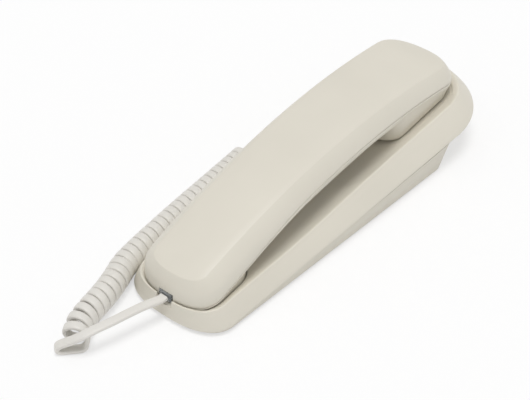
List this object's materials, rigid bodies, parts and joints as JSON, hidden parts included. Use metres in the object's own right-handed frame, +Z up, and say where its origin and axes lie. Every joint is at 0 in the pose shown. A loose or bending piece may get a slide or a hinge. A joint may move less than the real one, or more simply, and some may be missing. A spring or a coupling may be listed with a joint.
{
  "type": "corded telephone",
  "caption": "Slim corded phone with a long curved handset resting in a wedge-shaped cradle base, keypad inside the handset grip and a flat curly cord.",
  "frame": {"origin": "middle of the base's footprint on the table, phone lying on its back", "axes": "+Z up out of the cradle, +Y towards the earpiece end, +X the side with no cord socket"},
  "size_m": [0.0936, 0.2697, 0.049],
  "materials": {
    "ivory_plastic": "fine moulded satin, warm off-white",
    "base_plastic": "fine moulded satin, warm off-white",
    "key_plastic": "smooth satin",
    "black_plastic": "moulded black",
    "rubber": "matt",
    "silicone_mat": "matt grey silicone",
    "circuit_board": "lacquered laminate",
    "steel": "zinc plated",
    "clear_plastic": "clear polycarbonate",
    "cord_vinyl": "smooth soft vinyl, slightly glossy"
  },
  "bodies": {
    "base": {"base_upper_shell": "ivory_plastic", "base_lower_cover": "base_plastic", "foot_1": "rubber", "foot_2": "rubber", "foot_3": "rubber", "foot_4": "rubber", "base_screw_1": "steel", "base_screw_2": "steel", "base_screw_3": "steel", "base_screw_4": "steel", "base_board": "circuit_board", "line_jack": "black_plastic", "base_cord_jack": "black_plastic", "ringer_capsule": "black_plastic", "hook_switch": "black_plastic", "ringer_switch": "black_plastic", "tone_switch": "black_plastic", "cord_handset_stretch": "cord_vinyl", "cord_base_stretch": "cord_vinyl", "cord_curls": "cord_vinyl", "base_plug": "clear_plastic"},
    "handset": {"handset_top_shell": "ivory_plastic", "handset_bottom_shell": "ivory_plastic", "handset_screw_1": "steel", "handset_screw_2": "steel", "key_plate": "base_plastic", "key_mat": "silicone_mat", "handset_board": "circuit_board", "earpiece_capsule": "black_plastic", "earpiece_gasket": "rubber", "microphone_capsule": "steel", "microphone_boot": "rubber", "handset_weight": "steel", "handset_jack": "black_plastic", "handset_plug": "clear_plastic"},
    "hook": {"hook_plunger": "ivory_plastic"},
    "ringer_knob": {"ringer_slider": "black_plastic"},
    "tone_knob": {"tone_slider": "black_plastic"},
    "button_1": {"key_1": "key_plastic"},
    "button_2": {"key_2": "key_plastic"},
    "button_3": {"key_3": "key_plastic"},
    "button_4": {"key_4": "key_plastic"},
    "button_5": {"key_5": "key_plastic"},
    "button_6": {"key_6": "key_plastic"},
    "button_7": {"key_7": "key_plastic"},
    "button_8": {"key_8": "key_plastic"},
    "button_9": {"key_9": "key_plastic"},
    "button_star": {"key_star": "key_plastic"},
    "button_0": {"key_0": "key_plastic"},
    "button_hash": {"key_hash": "key_plastic"},
    "button_redial": {"key_redial": "key_plastic"},
    "button_flash": {"key_flash": "key_plastic"},
    "button_mute": {"key_mute": "key_plastic"}
  },
  "joints": [
    {"name": "handset_lift", "type": "slide", "parent": "base", "child": "handset", "axis": [0, 0, 1], "range_m": [0, 0.05]},
    {"name": "hook_rise", "type": "slide", "parent": "base", "child": "hook", "axis": [0, 0, 1], "range_m": [0, 0.003]},
    {"name": "ringer_slide", "type": "slide", "parent": "base", "child": "ringer_knob", "axis": [0, 1, 0], "range_m": [-0.0036, 0]},
    {"name": "tone_slide", "type": "slide", "parent": "base", "child": "tone_knob", "axis": [1, 0, 0], "range_m": [0, 0.0036]},
    {"name": "press_1", "type": "slide", "parent": "handset", "child": "button_1", "axis": [0, -0.0922, 0.9957], "range_m": [0, 0.0012], "stiffness_N_per_m": 300, "springref_m": -0.001},
    {"name": "press_2", "type": "slide", "parent": "handset", "child": "button_2", "axis": [0, -0.0922, 0.9957], "range_m": [0, 0.0012], "stiffness_N_per_m": 300, "springref_m": -0.001},
    {"name": "press_3", "type": "slide", "parent": "handset", "child": "button_3", "axis": [0, -0.0922, 0.9957], "range_m": [0, 0.0012], "stiffness_N_per_m": 300, "springref_m": -0.001},
    {"name": "press_4", "type": "slide", "parent": "handset", "child": "button_4", "axis": [0, -0.0922, 0.9957], "range_m": [0, 0.0012], "stiffness_N_per_m": 300, "springref_m": -0.001},
    {"name": "press_5", "type": "slide", "parent": "handset", "child": "button_5", "axis": [0, -0.0922, 0.9957], "range_m": [0, 0.0012], "stiffness_N_per_m": 300, "springref_m": -0.001},
    {"name": "press_6", "type": "slide", "parent": "handset", "child": "button_6", "axis": [0, -0.0922, 0.9957], "range_m": [0, 0.0012], "stiffness_N_per_m": 300, "springref_m": -0.001},
    {"name": "press_7", "type": "slide", "parent": "handset", "child": "button_7", "axis": [0, -0.0922, 0.9957], "range_m": [0, 0.0012], "stiffness_N_per_m": 300, "springref_m": -0.001},
    {"name": "press_8", "type": "slide", "parent": "handset", "child": "button_8", "axis": [0, -0.0922, 0.9957], "range_m": [0, 0.0012], "stiffness_N_per_m": 300, "springref_m": -0.001},
    {"name": "press_9", "type": "slide", "parent": "handset", "child": "button_9", "axis": [0, -0.0922, 0.9957], "range_m": [0, 0.0012], "stiffness_N_per_m": 300, "springref_m": -0.001},
    {"name": "press_star", "type": "slide", "parent": "handset", "child": "button_star", "axis": [0, -0.0922, 0.9957], "range_m": [0, 0.0012], "stiffness_N_per_m": 300, "springref_m": -0.001},
    {"name": "press_0", "type": "slide", "parent": "handset", "child": "button_0", "axis": [0, -0.0922, 0.9957], "range_m": [0, 0.0012], "stiffness_N_per_m": 300, "springref_m": -0.001},
    {"name": "press_hash", "type": "slide", "parent": "handset", "child": "button_hash", "axis": [0, -0.0922, 0.9957], "range_m": [0, 0.0012], "stiffness_N_per_m": 300, "springref_m": -0.001},
    {"name": "press_redial", "type": "slide", "parent": "handset", "child": "button_redial", "axis": [0, -0.0922, 0.9957], "range_m": [0, 0.0012], "stiffness_N_per_m": 300, "springref_m": -0.001},
    {"name": "press_flash", "type": "slide", "parent": "handset", "child": "button_flash", "axis": [0, -0.0922, 0.9957], "range_m": [0, 0.0012], "stiffness_N_per_m": 300, "springref_m": -0.001},
    {"name": "press_mute", "type": "slide", "parent": "handset", "child": "button_mute", "axis": [0, -0.0922, 0.9957], "range_m": [0, 0.0012], "stiffness_N_per_m": 300, "springref_m": -0.001}
  ],
  "couplings": [
    {"joint": "hook_rise", "follows": "handset_lift", "ratio": 0.06}
  ]
}
